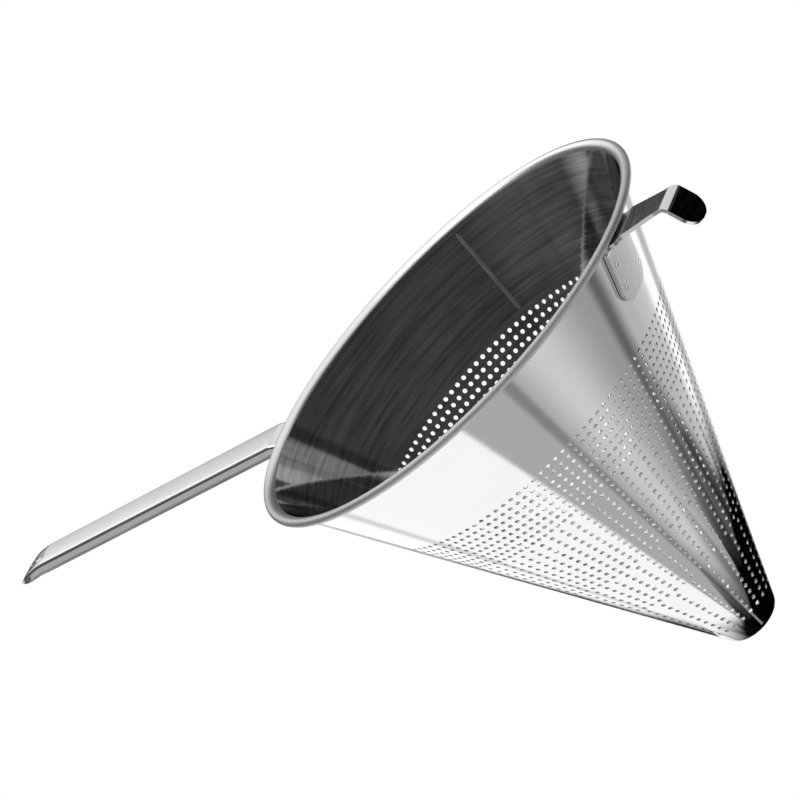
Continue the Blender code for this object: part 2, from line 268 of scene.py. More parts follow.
def turned_normals(points, profile_normal):
    """A profile's normal (outwards, up) carried round the axis to each point."""
    radius = np.maximum(np.hypot(points[..., 0], points[..., 1]), NEAR_AXIS)
    out = points[..., :2] / radius[..., None] * profile_normal.x
    return np.concatenate([out, np.full(points.shape[:-1] + (1,), profile_normal.y)], axis=-1)


def perforated(mesher, first, rows, holes, segments, column):
    """One band of holes. Returns its directions, and its (top, bottom) rings outside and inside."""
    edges = first + ROW_PITCH * (0.5 - np.arange(rows + 1))
    edges[0] -= JOIN
    edges[-1] += JOIN
    count = holes * segments
    directions = math.radians(column) + math.tau * (np.arange(count) / count - 0.5 / holes)
    columns = directions[::segments]
    around = 2 * segments + 2 * CELL_STEPS
    turn = math.pi / 2 + math.pi * segments / around - math.tau * np.arange(around) / around
    middle = first - ROW_PITCH * np.arange(rows)
    distance = np.broadcast_to(
        middle[:, None, None] + HOLE_RADIUS * np.sin(turn), (rows, holes, around)
    )
    centre = columns + math.pi / holes
    direction = centre[None, :, None] + HOLE_RADIUS * np.cos(turn) / (distance * SIN)
    circles = []
    ends = []
    for outwards, depth, material in ((1, 0.0, POLISHED), (-1, SHEET, SPUN)):
        rings = mesher.add_points(wall(edges[:, None], directions, depth))
        share = np.arange(1, CELL_STEPS) / CELL_STEPS
        between_rows = edges[:-1, None] + (edges[1:] - edges[:-1])[:, None] * share
        sides = mesher.add_points(wall(between_rows[:, None, :], columns[None, :, None], depth))
        top = rings[:-1].reshape(rows, holes, segments)
        low = rings[1:].reshape(rows, holes, segments)
        right_top = np.roll(top, -1, axis=1)[:, :, :1]
        right_low = np.roll(low, -1, axis=1)[:, :, :1]
        right = np.roll(sides, -1, axis=1)
        border = np.concatenate(
            [top, right_top, right, right_low, low[:, :, :0:-1], low[:, :, :1], sides[:, :, ::-1]],
            axis=-1,
        )
        circle = mesher.add_points(wall(distance, direction, depth))
        faces = quads(border, circle)
        mesher.add_faces(faces, wall_normals(mesher.points[faces], outwards), material)
        circles.append(circle)
        ends.append((rings[0], rings[-1]))
    outer, inner = circles
    across = np.stack([-np.sin(centre), np.cos(centre), np.zeros(holes)], axis=-1)[None, :, None]
    along = np.stack([SIN * np.cos(centre), SIN * np.sin(centre), np.full(holes, COS)], axis=-1)
    along = along[None, :, None]
    to_middle = -(np.cos(turn)[:, None] * across + np.sin(turn)[:, None] * along)
    to_middle = np.broadcast_to(to_middle, (rows, holes, around, 3))
    following = np.roll(to_middle, -1, axis=2)
    normals = np.stack([to_middle, following, following, to_middle], axis=-2)
    mesher.add_faces(quads(outer, inner), normals, CUT)
    return directions, ends


def zipped(mesher, first, first_directions, second, second_directions, outwards, material):
    """Triangles between two rings with different numbers of points."""
    start = first_directions[0]
    a = np.mod(first_directions - start, math.tau)
    b = np.mod(second_directions - start, math.tau)
    order = np.argsort(b)
    second, b = second[order], b[order]
    a = np.append(a, math.tau)
    b = np.append(b, math.tau + b[0])
    i = j = 0
    triangles = []
    while i < len(first) or j < len(second):
        here, there = first[i % len(first)], second[j % len(second)]
        if j >= len(second) or (i < len(first) and a[i + 1] <= b[j + 1]):
            triangles.append((here, first[(i + 1) % len(first)], there))
            i += 1
        else:
            triangles.append((here, second[(j + 1) % len(second)], there))
            j += 1
    faces = np.array(triangles)
    mesher.add_faces(faces, wall_normals(mesher.points[faces], outwards), material)


def turn_runs(mesher, runs, directions, first, last=None):
    """Revolves runs of (point, normal, material). The first ring is given, the last may be."""
    ring = first
    for number, run in enumerate(runs):
        for step in range(1, len(run)):
            point, normal, material = run[step]
            ends = number == len(runs) - 1 and step == len(run) - 1
            if ends and last is not None:
                following = last
            else:
                following = mesher.add_points(turned(point, directions))
            faces = quads(ring, following)
            normals = np.empty(faces.shape + (3,))
            normals[:, :2] = turned_normals(mesher.points[faces[:, :2]], run[step - 1][1])
            normals[:, 2:] = turned_normals(mesher.points[faces[:, 2:]], normal)
            mesher.add_faces(faces, normals, material)
            ring = following
    return ring


def arc_outs(start, end, steps):
    """Directions away from an arc's centre, from its start to its end."""
    turns = [start + (end - start) * i / steps for i in range(steps + 1)]
    return [Vector((math.cos(turn), math.sin(turn))) for turn in turns]


def arc_run(centre, radius, start, end, steps, facing, material):
    """A run on an arc. Facing is 1 where the surface looks away from the arc's centre."""
    outs = arc_outs(start, end, steps)
    return [(centre + radius * out, out * facing, material) for out in outs]


def make_body(materials):
    """The cone with its round holes, its tip and its rolled rim, all one sheet."""
    mesher = Mesher()
    made = []
    first = FIRST_ROW
    for rows, holes, segments, column in BANDS:
        made.append(perforated(mesher, first, rows, holes, segments, column))
        first -= rows * ROW_PITCH
    for (upper, upper_ends), (lower, lower_ends) in zip(made, made[1:]):
        for side, outwards in ((POLISHED, 1), (SPUN, -1)):
            top, bottom = upper_ends[side][1], lower_ends[side][0]
            zipped(mesher, top, upper, bottom, lower, outwards, side)

    against_wall = math.pi - ANGLE
    edge = against_wall - math.tau + EDGE_OPEN
    ease = against_wall - EASE_TURN
    roll = Vector((ROLL_RADIUS, RIM_HEIGHT))
    ease_centre = roll - (EASE_RADIUS - ROLL_INSIDE) * Vector((math.cos(ease), math.sin(ease)))
    directions, ends = made[0]
    outside = OFF_WALL.copy()
    wall_top = ease_centre - EASE_RADIUS * OFF_WALL
    cap = Vector((math.sin(edge), -math.cos(edge)))
    tip = Vector((math.cos(edge), math.sin(edge)))
    thick_ease = EASE_RADIUS + SHEET
    runs = [
        [(None, outside, POLISHED), (wall_top, outside, POLISHED)],
        arc_run(ease_centre, EASE_RADIUS, against_wall, ease, EASE_STEPS, -1, POLISHED),
        arc_run(roll, ROLL_INSIDE, ease, edge, ROLL_STEPS, -1, POLISHED),
        [(None, cap, POLISHED), (roll + tip * ROLL_OUTSIDE, cap, POLISHED)],
        arc_run(roll, ROLL_OUTSIDE, edge, ease, ROLL_STEPS, 1, BEAD),
        arc_run(ease_centre, thick_ease, ease, against_wall, EASE_STEPS, 1, ROLLED),
        [(None, -outside, SPUN), (None, -outside, SPUN)],
    ]
    turn_runs(mesher, runs, directions, ends[0][0], ends[1][0])

    directions, ends = made[-1]
    flat_radius = TIP_RADIUS - TIP_FILLET * math.tan((math.pi / 2 - ANGLE) / 2)
    centre = Vector((flat_radius, TIP_FILLET))
    for side, outwards, thickness in ((POLISHED, 1, 0.0), (SPUN, -1, SHEET)):
        radius = TIP_FILLET - thickness
        face = outside * outwards
        down = Vector((0.0, -1.0)) * outwards
        last_ring = ends[side][1]
        runs = [
            [(None, face, side), (centre + OFF_WALL * radius, face, side)],
            arc_run(centre, radius, -ANGLE, -math.pi / 2, FILLET_STEPS, outwards, side),
            [(None, down, side), (Vector((flat_radius / 2, TIP_FILLET - radius)), down, side)],
        ]
        ring = turn_runs(mesher, runs, directions, last_ring)
        middle = mesher.add_points(np.array([[0.0, 0.0, TIP_FILLET - radius]]))[0]
        fan = np.stack([ring, np.roll(ring, -1), np.full(len(ring), middle)], axis=-1)
        normals = np.broadcast_to(np.array([0.0, 0.0, down.y]), fan.shape + (3,)).copy()
        mesher.add_faces(fan, normals, side)
    add_seam(mesher)
    return piece("strainer_body", mesher.mesh("strainer_body", materials))


def add_seam(mesher):
    """The smoothed weld line on the inside, from the first row of holes to the rim."""
    across = np.linspace(-1.0, 1.0, SEAM_COLUMNS)
    distance = np.linspace(SEAM_FROM, SEAM_TO, SEAM_ROWS)[:, None]
    ends = np.clip(np.minimum(distance - SEAM_FROM, SEAM_TO - distance) / SEAM_WIDTH, 0.0, 1.0)
    lift = (SEAM_HEIGHT + SEAM_SINK) * (1.0 - across ** 2) ** 2 * ends - SEAM_SINK
    middle = SEAM_DIRECTION + SEAM_SLANT * (distance - SEAM_FROM) / (SEAM_TO - SEAM_FROM)
    direction = middle + across * SEAM_WIDTH / 2 / (distance * SIN)
    grid = mesher.add_points(wall(distance + 0.0 * across, direction, SHEET + lift))
    slope = (SEAM_HEIGHT + SEAM_SINK) * -4.0 * across * (1.0 - across ** 2) * 2.0 / SEAM_WIDTH
    sideways = np.array([-math.sin(SEAM_DIRECTION), math.cos(SEAM_DIRECTION), 0.0])
    normals = wall_normals(mesher.points[grid], -1.0) - slope[None, :, None] * sideways
    normals /= np.linalg.norm(normals, axis=-1, keepdims=True)
    mesher.add_faces(cells(grid, -1), cells(normals, -2), SEAM)


def piece(name, mesh):
    obj = bpy.data.objects.new(name, mesh)
    bpy.context.scene.collection.objects.link(obj)
    return obj


def make_wire(material):
    """The wire in the rolled rim, as a fine ring."""
    mesher = Mesher()
    directions = math.tau * np.arange(WIRE_STEPS) / WIRE_STEPS
    centre = Vector((ROLL_RADIUS, RIM_HEIGHT))
    run = arc_run(centre, WIRE_DIAMETER / 2, 0.0, math.tau, WIRE_SIDES, 1, 0)
    first = mesher.add_points(turned(run[0][0], directions))
    turn_runs(mesher, [run], directions, first, first)
    return piece("rim_ring", mesher.mesh("rim_ring", [material]))


# Bent sheets


def bent_line(corners, radii):
    """A line through corners, each inner corner rounded by its radius."""
    points = [corners[0]]
    for before, corner, after, radius in zip(corners, corners[1:], corners[2:], radii):
        come = (corner - before).normalized()
        go = (after - corner).normalized()
        turn = math.atan2(come.x * go.y - come.y * go.x, come.dot(go))
        side = math.copysign(1.0, turn)
        tangent = radius * math.tan(abs(turn) / 2)
        first = corner - come * tangent
        centre = first + side * radius * Vector((-come.y, come.x))
        start = math.atan2(first.y - centre.y, first.x - centre.x)
        steps = max(2, math.ceil(abs(turn) / BEND_STEP))
        points += [centre + radius * out for out in arc_outs(start, start + turn, steps)]
    points.append(corners[-1])
    return points


def line_length(points):
    return sum((b - a).length for a, b in zip(points, points[1:]))


def stations(points, extra):
    """Each point of a line, and extra ones, as (length from its start, point, heading)."""
    result = []
    run = 0.0
    todo = sorted(extra)
    headings = [(b - a).normalized() for a, b in zip(points, points[1:])]
    for i, (a, b) in enumerate(zip(points, points[1:])):
        length = (b - a).length
        heading = (headings[max(i - 1, 0)] + headings[i]).normalized()
        result.append((run, a, heading))
        for s in [e for e in todo if run + NEAREST_STATIONS < e < run + length - NEAREST_STATIONS]:
            if s - result[-1][0] > NEAREST_STATIONS:
                result.append((s, a + headings[i] * (s - run), headings[i]))
        run += length
    result.append((run, points[-1], headings[-1]))
    return result


def ramp(value, start, end):
    return min(1.0, max(0.0, (value - start) / (end - start)))


def smooth(share):
    return share * share * (3.0 - 2.0 * share)


def wall_point(height):
    return Vector((TIP_RADIUS + height * math.tan(ANGLE), height))


def seat_line():
    return wall_point(RIM_HEIGHT) + OFF_WALL * SEAT_GAP


def under_rim():
    return RIM_HEIGHT - ROLL_OUTSIDE - SEAT_GAP


def root_corner():
    seat = seat_line()
    return seat + ALONG_WALL * (under_rim() - seat.y) / ALONG_WALL.y


def wrapped(point, across, share):
    drop = point.x - math.sqrt(point.x ** 2 - across ** 2)
    return Vector((point.x - drop * share, across, point.y))


def round_end(distance, radius):
    away = radius - min(radius, max(distance, BLUNT_END))
    return radius - math.sqrt(radius ** 2 - away ** 2)


def end_stations(radius, count):
    return [radius * (1 - math.cos(math.pi / 2 * i / count)) for i in range(1, count + 1)]


def between(start, end, count):
    return [start + (end - start) * i / count for i in range(count + 1)]


def lofted(name, sections, thickness, material):
    """A bent sheet through sections with equal numbers of points, thickened away from its face."""
    bm = bmesh.new()
    rows = [[bm.verts.new(p) for p in section] for section in sections]
    for a, b in zip(rows, rows[1:]):
        for i in range(len(a) - 1):
            bm.faces.new((a[i], b[i], b[i + 1], a[i + 1]))
    mesh = bpy.data.meshes.new(name)
    bm.to_mesh(mesh)
    bm.free()
    mesh.shade_smooth()
    mesh.materials.append(material)
    obj = piece(name, mesh)
    shell = obj.modifiers.new("Sheet", "SOLIDIFY")
    shell.thickness = thickness
    shell.offset = -1.0
    shell.use_even_offset = True
    return obj


def round_edges(obj, width):
    """Breaks the sheet's sheared edges, and shades its faces flat between them."""
    bevel = obj.modifiers.new("Edges", "BEVEL")
    bevel.width = width
    bevel.segments = EDGE_SEGMENTS
    bevel.limit_method = "ANGLE"
    bevel.angle_limit = SHARP_ANGLE
    weighted = obj.modifiers.new("Shading", "WEIGHTED_NORMAL")
    weighted.keep_sharp = True


def weld_dent(across, down):
    """How far a spot weld's dimple sinks the tab's face at a place."""
    sunk = 0.0
    for weld_across, weld_down in WELDS:
        away = math.hypot(across - weld_across, down - weld_down)
        sunk += WELD_DEPTH * math.exp(-((away / WELD_RADIUS) ** 2) * DIMPLE_FALL)
        sunk -= WELD_RIDGE * math.exp(-(((away - WELD_RING) / WELD_RADIUS) ** 2) * RIDGE_FALL)
    return sunk


def make_hook(material):
    root = root_corner()
    tab_end = seat_line() - ALONG_WALL * HOOK_TAB_LENGTH
    low = Vector((RIM_DIAMETER / 2 + HOOK_LOW_RUN, under_rim()))
    high = low + Vector((HOOK_STEP_RUN, HOOK_STEP))
    over_lip = Vector((RIM_DIAMETER / 2 + HOOK_REACH, high.y))
    lip_end = over_lip + HOOK_LIP * Vector((math.sin(HOOK_LIP_TILT), -math.cos(HOOK_LIP_TILT)))
    bends = [HOOK_ROOT_BEND, HOOK_SWAN, HOOK_SWAN, HOOK_LIP_BEND]
    line = bent_line([tab_end, root, low, high, over_lip, lip_end], bends)
    length = line_length(line)
    bend_reach = HOOK_LIP_BEND * math.tan((math.pi / 2 - HOOK_LIP_TILT) / 2)
    flare_start = (root - tab_end).length - HOOK_ROOT_BEND / 2
    neck = flare_start + high.x - root.x
    lip_start = length - HOOK_LIP + bend_reach
    waist = neck + over_lip.x - bend_reach - high.x
    extra = end_stations(HOOK_TAB_CORNER, END_SECTIONS)
    extra += [length - d for d in end_stations(HOOK_CORNER, END_SECTIONS)]
    extra += between(HOOK_TAB_CORNER / 2, flare_start, HOOK_TAB_SECTIONS)
    extra += between(flare_start, neck, FLARE_SECTIONS)
    extra += between(neck, waist, HOOK_NECK_SECTIONS)
    sections = []
    for run, point, _ in stations(line, extra):
        flare = smooth(ramp(run, flare_start, neck))
        width = HOOK_TAB_WIDTH + (HOOK_NECK_WIDTH - HOOK_TAB_WIDTH) * flare
        width += (HOOK_WAIST_WIDTH - HOOK_NECK_WIDTH) * ramp(run, neck, waist)
        width += (HOOK_WIDTH - HOOK_WAIST_WIDTH) * smooth(ramp(run, waist, lip_start))
        half = width / 2 - round_end(run, HOOK_TAB_CORNER) - round_end(length - run, HOOK_CORNER)
        share = 1.0 - ramp(run, flare_start, neck)
        across = [half * (2 * i / STRIP_COLUMNS - 1) for i in range(STRIP_COLUMNS + 1)]
        section = []
        for y in across:
            place = wrapped(point, y, share)
            if run < flare_start:
                dent = weld_dent(y, HOOK_TAB_LENGTH - run)
                place -= Vector((COS, 0.0, -SIN)) * dent
            section.append(place)
        sections.append(section)
    obj = lofted("pot_hook", sections, HOOK_SHEET, material)
    round_edges(obj, HOOK_EDGE)
    return obj


def handle_line():
    root = root_corner()
    tab_end = seat_line() - ALONG_WALL * HANDLE_TAB_LENGTH
    rim = RIM_DIAMETER / 2
    low = Vector((rim + HANDLE_LOW_RUN, under_rim()))
    high = low + Vector((HANDLE_STEP_RUN, HANDLE_STEP))
    nose_start = rim + HANDLE_LENGTH - HANDLE_NOSE / 2
    grip = nose_start - high.x
    nose = high + Vector((grip, grip * math.tan(HANDLE_RISE)))
    droop = HANDLE_NOSE / 2
    end = nose + Vector((droop, -droop * math.tan(HANDLE_NOSE_DROOP)))
    nose_turn = HANDLE_RISE + HANDLE_NOSE_DROOP
    nose_bend = NOSE_BEND_RATIO * (end - nose).length / math.tan(nose_turn / 2)
    bends = [HANDLE_ROOT_BEND, HANDLE_SWAN, HANDLE_SWAN, nose_bend]
    return bent_line([tab_end, root, low, high, nose, end], bends)


def folded(arc_length, fold, share):
    if fold < STRAIGHT_FOLD:
        return arc_length * share, 0.0
    radius = arc_length / fold
    angle = fold * share
    return radius * math.sin(angle), radius * (1 - math.cos(angle))


def channel_section(point, up, rounded, fold, arc_length, side, crown):
    reach, _ = folded(arc_length, fold, 1.0)
    half = rounded - reach - side * math.cos(fold)
    points = [(half * i / TOP_COLUMNS, 0.0) for i in range(TOP_COLUMNS + 1)]
    for i in range(1, FOLD_COLUMNS + 1):
        across, down = folded(arc_length, fold, i / FOLD_COLUMNS)
        points.append((half + across, down))
    across, down = points[-1]
    for i in range(1, SIDE_COLUMNS + 1):
        share = side * i / SIDE_COLUMNS
        bulge = SIDE_BULGE * math.sin(math.pi * i / SIDE_COLUMNS) * math.sin(fold)
        points.append((across + share * math.cos(fold) + bulge, down + share * math.sin(fold)))
    rounded_top = max(half, NARROWEST_TOP)
    lowered = []
    for y, d in points:
        lowered.append((y, point - up * (d + crown * min(1.0, y / rounded_top) ** 2)))
    return lowered


def slot_cutter():
    bm = bmesh.new()
    middle = -(RIM_DIAMETER / 2 + HANDLE_LENGTH - SLOT_FROM_END)
    bmesh.ops.create_cone(
        bm,
        cap_ends=True,
        segments=SLOT_SIDES,
        radius1=SLOT_WIDTH / 2,
        radius2=SLOT_WIDTH / 2,
        depth=SLOT_CUTTER_DEPTH,
        matrix=Matrix.Rotation(math.pi / SLOT_SIDES, 4, "Z"),
    )
    for vert in bm.verts:
        vert.co.x += math.copysign((SLOT_LENGTH - SLOT_WIDTH) / 2, vert.co.x)
    bmesh.ops.translate(bm, verts=bm.verts, vec=(middle, 0.0, RIM_HEIGHT))
    mesh = bpy.data.meshes.new("slot_cutter")
    bm.to_mesh(mesh)
    bm.free()
    return piece("slot_cutter", mesh)


def make_handle(material):
    line = handle_line()
    length = line_length(line)
    root_run = (root_corner() - line[0]).length
    flare_start = root_run + HANDLE_ROOT_BEND / 2
    flare_end = flare_start + HANDLE_FLARE
    nose_start = length - HANDLE_NOSE
    quarter = HANDLE_FOLD * math.pi / 2
    extra = end_stations(HANDLE_TAB_CORNER, END_SECTIONS)
    extra += [length - d for d in end_stations(NOSE_CORNER, END_SECTIONS)]
    extra += between(flare_start, flare_end, FLARE_SECTIONS)
    extra += between(flare_end, nose_start, GRIP_SECTIONS)
    extra += between(nose_start, nose_start + HANDLE_NOSE - NOSE_CORNER, NOSE_SECTIONS)
    sections = []
    for run, point, heading in stations(line, extra):
        up = Vector((-heading.y, heading.x))
        flare = smooth(ramp(run, flare_start, flare_end))
        nose = ramp(run, nose_start, length)
        flat = smooth(ramp(run, length - NOSE_FLATTENING, length))
        taper = ramp(run, flare_end, nose_start)
        width = HANDLE_ROOT_WIDTH + (HANDLE_END_WIDTH - HANDLE_ROOT_WIDTH) * taper
        over_all = (HANDLE_TAB_WIDTH + (width - HANDLE_TAB_WIDTH) * flare) / 2
        rounded = over_all - round_end(run, HANDLE_TAB_CORNER)
        rounded -= round_end(length - run, NOSE_CORNER)
        shrink = rounded / over_all
        fold = math.pi / 2 * flare * (1.0 - flat)
        arc_length = quarter * shrink
        side = (HANDLE_DEPTH - HANDLE_FOLD) * shrink * (1.0 - (1.0 - NOSE_SIDES_RATIO) * nose)
        share = 1.0 - ramp(run, root_run - HANDLE_ROOT_BEND, root_run + HANDLE_ROOT_BEND)
        crown = HANDLE_CROWN * flare * shrink * (1.0 - flat)
        outer = channel_section(point, up, rounded, fold, arc_length, side, crown)
        outline = [(-y, p) for y, p in reversed(outer[1:])] + outer
        section = [wrapped(p, y, share) for y, p in outline]
        sections.append([Vector((-v.x, -v.y, v.z)) for v in section])
    obj = lofted("long_handle", sections, HANDLE_SHEET, material)
    cutter = slot_cutter()
    boolean = obj.modifiers.new("Slot", "BOOLEAN")
    boolean.operation = "DIFFERENCE"
    boolean.solver = "EXACT"
    boolean.object = cutter
    bpy.context.view_layer.update()
    depsgraph = bpy.context.evaluated_depsgraph_get()
    shaped = bpy.data.meshes.new_from_object(obj.evaluated_get(depsgraph))
    obj.modifiers.clear()
    obj.data = shaped
    bpy.data.objects.remove(cutter, do_unlink=True)
    round_edges(obj, HANDLE_EDGE)
    return obj


# Materials

FINE_DETAIL = 4.0
BROAD_SCALE = 28.0
BROAD_DETAIL = 3.0
FINE_SHARE, BROAD_SHARE = 0.7, 0.3      # of the two noises that the grey and the gloss follow
NOISE_LOW, NOISE_HIGH = 0.3, 0.7        # between which the noises lie
BUMP_STRENGTH = 0.35


class Nodes:
    """Short ways to add and join shader nodes."""

    def __init__(self, tree):
        self.tree = tree

    def add(self, kind, **values):
        node = self.tree.nodes.new(kind)
        for name, value in values.items():
            setattr(node, name, value)
        return node

    def join(self, source, target):
        self.tree.links.new(source, target)

    def math(self, operation, *values):
        node = self.add("ShaderNodeMath", operation=operation)
        for socket, value in zip(node.inputs, values):
            if isinstance(value, (int, float)):
                socket.default_value = value
            else:
                self.join(value, socket)
        return node.outputs[0]

    def ranged(self, value, low, high, to_low, to_high):
        node = self.add("ShaderNodeMapRange", interpolation_type="SMOOTHSTEP")
        self.join(value, node.inputs["Value"])
        node.inputs["From Min"].default_value = low
        node.inputs["From Max"].default_value = high
        node.inputs["To Min"].default_value = to_low
        node.inputs["To Max"].default_value = to_high
        return node.outputs["Result"]

    def scaled(self, vector, scale):
        node = self.add("ShaderNodeVectorMath", operation="MULTIPLY")
        self.join(vector, node.inputs[0])
        node.inputs[1].default_value = scale
        return node.outputs[0]

    def along(self, vector, direction):
        node = self.add("ShaderNodeVectorMath", operation="DOT_PRODUCT")
        self.join(vector, node.inputs[0])
        node.inputs[1].default_value = direction
        return node.outputs["Value"]

    def noise(self, vector, scale, detail):
        node = self.add("ShaderNodeTexNoise")
        node.inputs["Scale"].default_value = scale
        node.inputs["Detail"].default_value = detail
        self.join(vector, node.inputs["Vector"])
        return node.outputs["Fac"]

    def around_axis(self):
        """A vector whose x and y go round the cone's axis, whatever the radius."""
        place = self.add("ShaderNodeTexCoord").outputs["Object"]
        flat = self.scaled(place, (1.0, 1.0, 0.0))
        length = self.add("ShaderNodeVectorMath", operation="NORMALIZE")
        self.join(flat, length.inputs[0])
        height = self.scaled(place, (0.0, 0.0, 1.0))
        total = self.add("ShaderNodeVectorMath", operation="ADD")
        self.join(length.outputs[0], total.inputs[0])
        self.join(height, total.inputs[1])
        return total.outputs[0]

    def place(self):
        return self.add("ShaderNodeTexCoord").outputs["Object"]


def steel(name, grey, roughness, streaks, streak_scale, depth, tone, spread, painted_light_and_rough=None):
    """Steel whose grey, gloss and surface vary along streaks: streaks is the vector they follow.

    The last argument: the direction of the side whose grey is painted lighter, a painted
    highlight, and whose roughness is raised, the two places along it between which the finish
    changes, and there the factor of the grey and the gain of the roughness.
    """
    material = bpy.data.materials.new(name)
    material.use_nodes = True
    shader = material.node_tree.nodes["Principled BSDF"]
    shader.inputs["Metallic"].default_value = 1.0
    n = Nodes(material.node_tree)
    source = n.around_axis() if streaks == "round" else n.place()
    vector = n.scaled(source, streak_scale)
    fine = n.noise(vector, 1.0, FINE_DETAIL)
    broad = n.noise(n.place(), BROAD_SCALE, BROAD_DETAIL)
    fine_part = n.math("MULTIPLY", fine, FINE_SHARE)
    both = n.math("ADD", fine_part, n.math("MULTIPLY", broad, BROAD_SHARE))
    darkest, lightest = grey * (1.0 - tone), grey * (1.0 + tone)
    brightness = n.ranged(both, NOISE_LOW, NOISE_HIGH, darkest, lightest)
    gloss = n.ranged(both, NOISE_LOW, NOISE_HIGH, roughness - spread, roughness + spread)
    # The chosen side's grey is painted lighter, a painted highlight, and its roughness is raised
    if painted_light_and_rough:
        towards, start, end, factor, gain = painted_light_and_rough
        along = n.along(n.place(), towards)
        brightness = n.math("MULTIPLY", brightness, n.ranged(along, start, end, 1.0, factor))
        gloss = n.math("ADD", gloss, n.ranged(along, start, end, 0.0, gain))
    colour = n.add("ShaderNodeCombineColor")
    for channel in colour.inputs:
        n.join(brightness, channel)
    n.join(colour.outputs[0], shader.inputs["Base Color"])
    n.join(gloss, shader.inputs["Roughness"])
    bump = n.add("ShaderNodeBump")
    bump.inputs["Strength"].default_value = BUMP_STRENGTH
    bump.inputs["Distance"].default_value = depth
    n.join(fine, bump.inputs["Height"])
    n.join(bump.outputs["Normal"], shader.inputs["Normal"])
    return material


polished = steel("polished_outside", 0.72, 0.06, "round", (2.0, 2.0, 900.0), 0.000003, 0.02, 0.02)
spun = steel("spun_inside", 0.60, 0.07, "round", (2.5, 2.5, 640.0), 0.00004, 0.36, 0.02)
cut_edge = steel("punched_edge", 0.55, 0.5, "place", (900.0, 900.0, 900.0), 0.00002, 0.12, 0.08)
# The rolled ease and the bead are the same side of the sheet as the spun inside: the ease's lighter
# grey is a painted highlight and the bead's darker grey is painted shade
rolled = steel("rolled_rim", 0.80, 0.34, "round", (3.0, 3.0, 700.0), 0.000004, 0.03, 0.03)
# On the side that faces the camera, between the handle and the hook, the rim's bead has its grey
# painted lighter, a painted highlight, and its roughness raised
PAINTED_LIGHT_ROUGH_SIDE = (0.695, -0.719, 0.0)
bead = steel(
    "rolled_bead", 0.50, 0.35, "round", (3.0, 3.0, 700.0), 0.000008, 0.06, 0.05,
    painted_light_and_rough=(PAINTED_LIGHT_ROUGH_SIDE, -0.06, 0.04, 1.2, 0.25),
)
seam_steel = steel("ground_seam", 0.74, 0.22, "place", (90.0, 90.0, 90.0), 0.000002, 0.06, 0.03)
wire_steel = steel("drawn_wire", 0.5, 0.3, "round", (2.0, 2.0, 2500.0), 0.00001, 0.1, 0.08)
hook_steel = steel(
    "hook_steel_finish", 0.62, 0.12, "place", (1200.0, 90.0, 1200.0), 0.00001, 0.06, 0.04
)
handle_steel = steel(
    "handle_satin", 0.70, 0.2, "place", (30.0, 1400.0, 1400.0), 0.00001, 0.05, 0.04
)

body = make_body([polished, spun, cut_edge, rolled, seam_steel, bead])
wire = make_wire(wire_steel)
hook = make_hook(hook_steel)
handle = make_handle(handle_steel)

for obj, node, slot in (
    (body, "cone", "cone_steel"),
    (wire, "rim_wire", "wire_steel"),
    (hook, "hook", "hook_steel"),
    (handle, "handle", "handle_steel"),
):
    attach(obj, "root")
    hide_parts(node)

# Floor, flag and studio


def flat_mesh(name, points, height, material):
    mesh = bpy.data.meshes.new(name)
    mesh.from_pydata([(x, y, height) for x, y in points], [], [tuple(range(len(points)))])
    mesh.materials.append(material)
    return piece(name, mesh)


def glowing(name, grey):
    material = bpy.data.materials.new(name)
    material.use_nodes = True
    shader = material.node_tree.nodes["Principled BSDF"]
    shader.inputs["Base Color"].default_value = (0.0, 0.0, 0.0, 1.0)
    shader.inputs["Roughness"].default_value = 1.0
    shader.inputs["Specular IOR Level"].default_value = 0.0
    shader.inputs["Emission Color"].default_value = (grey, grey, grey, 1.0)
    shader.inputs["Emission Strength"].default_value = 1.0
    return material


FLOOR_REACH = 30.0
FLOOR_HEIGHT = -0.001
FLOOR_SIGNS = ((-1, -1), (1, -1), (1, 1), (-1, 1))
floor_corners = [(x * FLOOR_REACH, y * FLOOR_REACH) for x, y in FLOOR_SIGNS]
floor = flat_mesh("floor", floor_corners, FLOOR_HEIGHT, glowing("pale_floor", 1.0))
floor.visible_glossy = False
floor.visible_diffuse = False
floor.visible_shadow = False

# A black flag under the tip, seen only in the steel. Each row: where its dense cloth ends, where
# its soft edge ends, both in millimetres, and how dense the cloth is where the soft edge starts
FLAG_HEIGHT = -0.02
FLAG_MIDDLE = (25, 50)
FLAG_EDGE = (
    ((56, 3), (64, 3), 1.0),
    ((58, 10), (135, 20), 0.9),
    ((60, 16), (180, 48), 0.85),
    ((62, 24), (170, 68), 0.75),
    ((66, 33), (160, 80), 0.65),
    ((110, 68), (190, 114), 0.66),
    ((120, 82), (200, 138), 0.78),
    ((112, 97), (150, 130), 0.68),
    ((88, 94), (118, 127), 0.72),
    ((75, 98), (96, 128), 0.72),
    ((59, 100), (74, 126), 0.95),
    ((53, 118), (80, 185), 0.8),
    ((41, 131), (62, 205), 0.85),
    ((30, 146), (45, 235), 0.88),
    ((13, 150), (22, 290), 0.8),
    ((6, 110), (-50, 200), 1.0),
    ((4, 60), (-35, 80), 1.0),
    ((-2, 20), (-35, 20), 1.0),
    ((-8, -14), (-62, -16), 1.0),
    ((-7, -25), (-34, -42), 1.0),
    ((-1, -29), (-4, -44), 1.0),
    ((10, -29), (14, -38), 1.0),
    ((20, -22), (66, -62), 0.85),
    ((38, -12), (80, -36), 0.75),
    ((48, -5), (135, -22), 0.68),
)
# Its wholly black middle
FLAG_CORE = (
    (54, 3), (55, 16), (58, 28), (63, 40), (65, 52), (64, 64), (60, 84), (58, 98), (49, 116),
    (44, 134), (29, 148), (10, 147), (2, 110), (0, 60), (0, 30), (-6, 0), (-8, -14), (-7, -25),
    (-1, -29), (10, -29), (20, -22), (38, -12), (50, -5),
)
CORE_LIFT = 0.0001
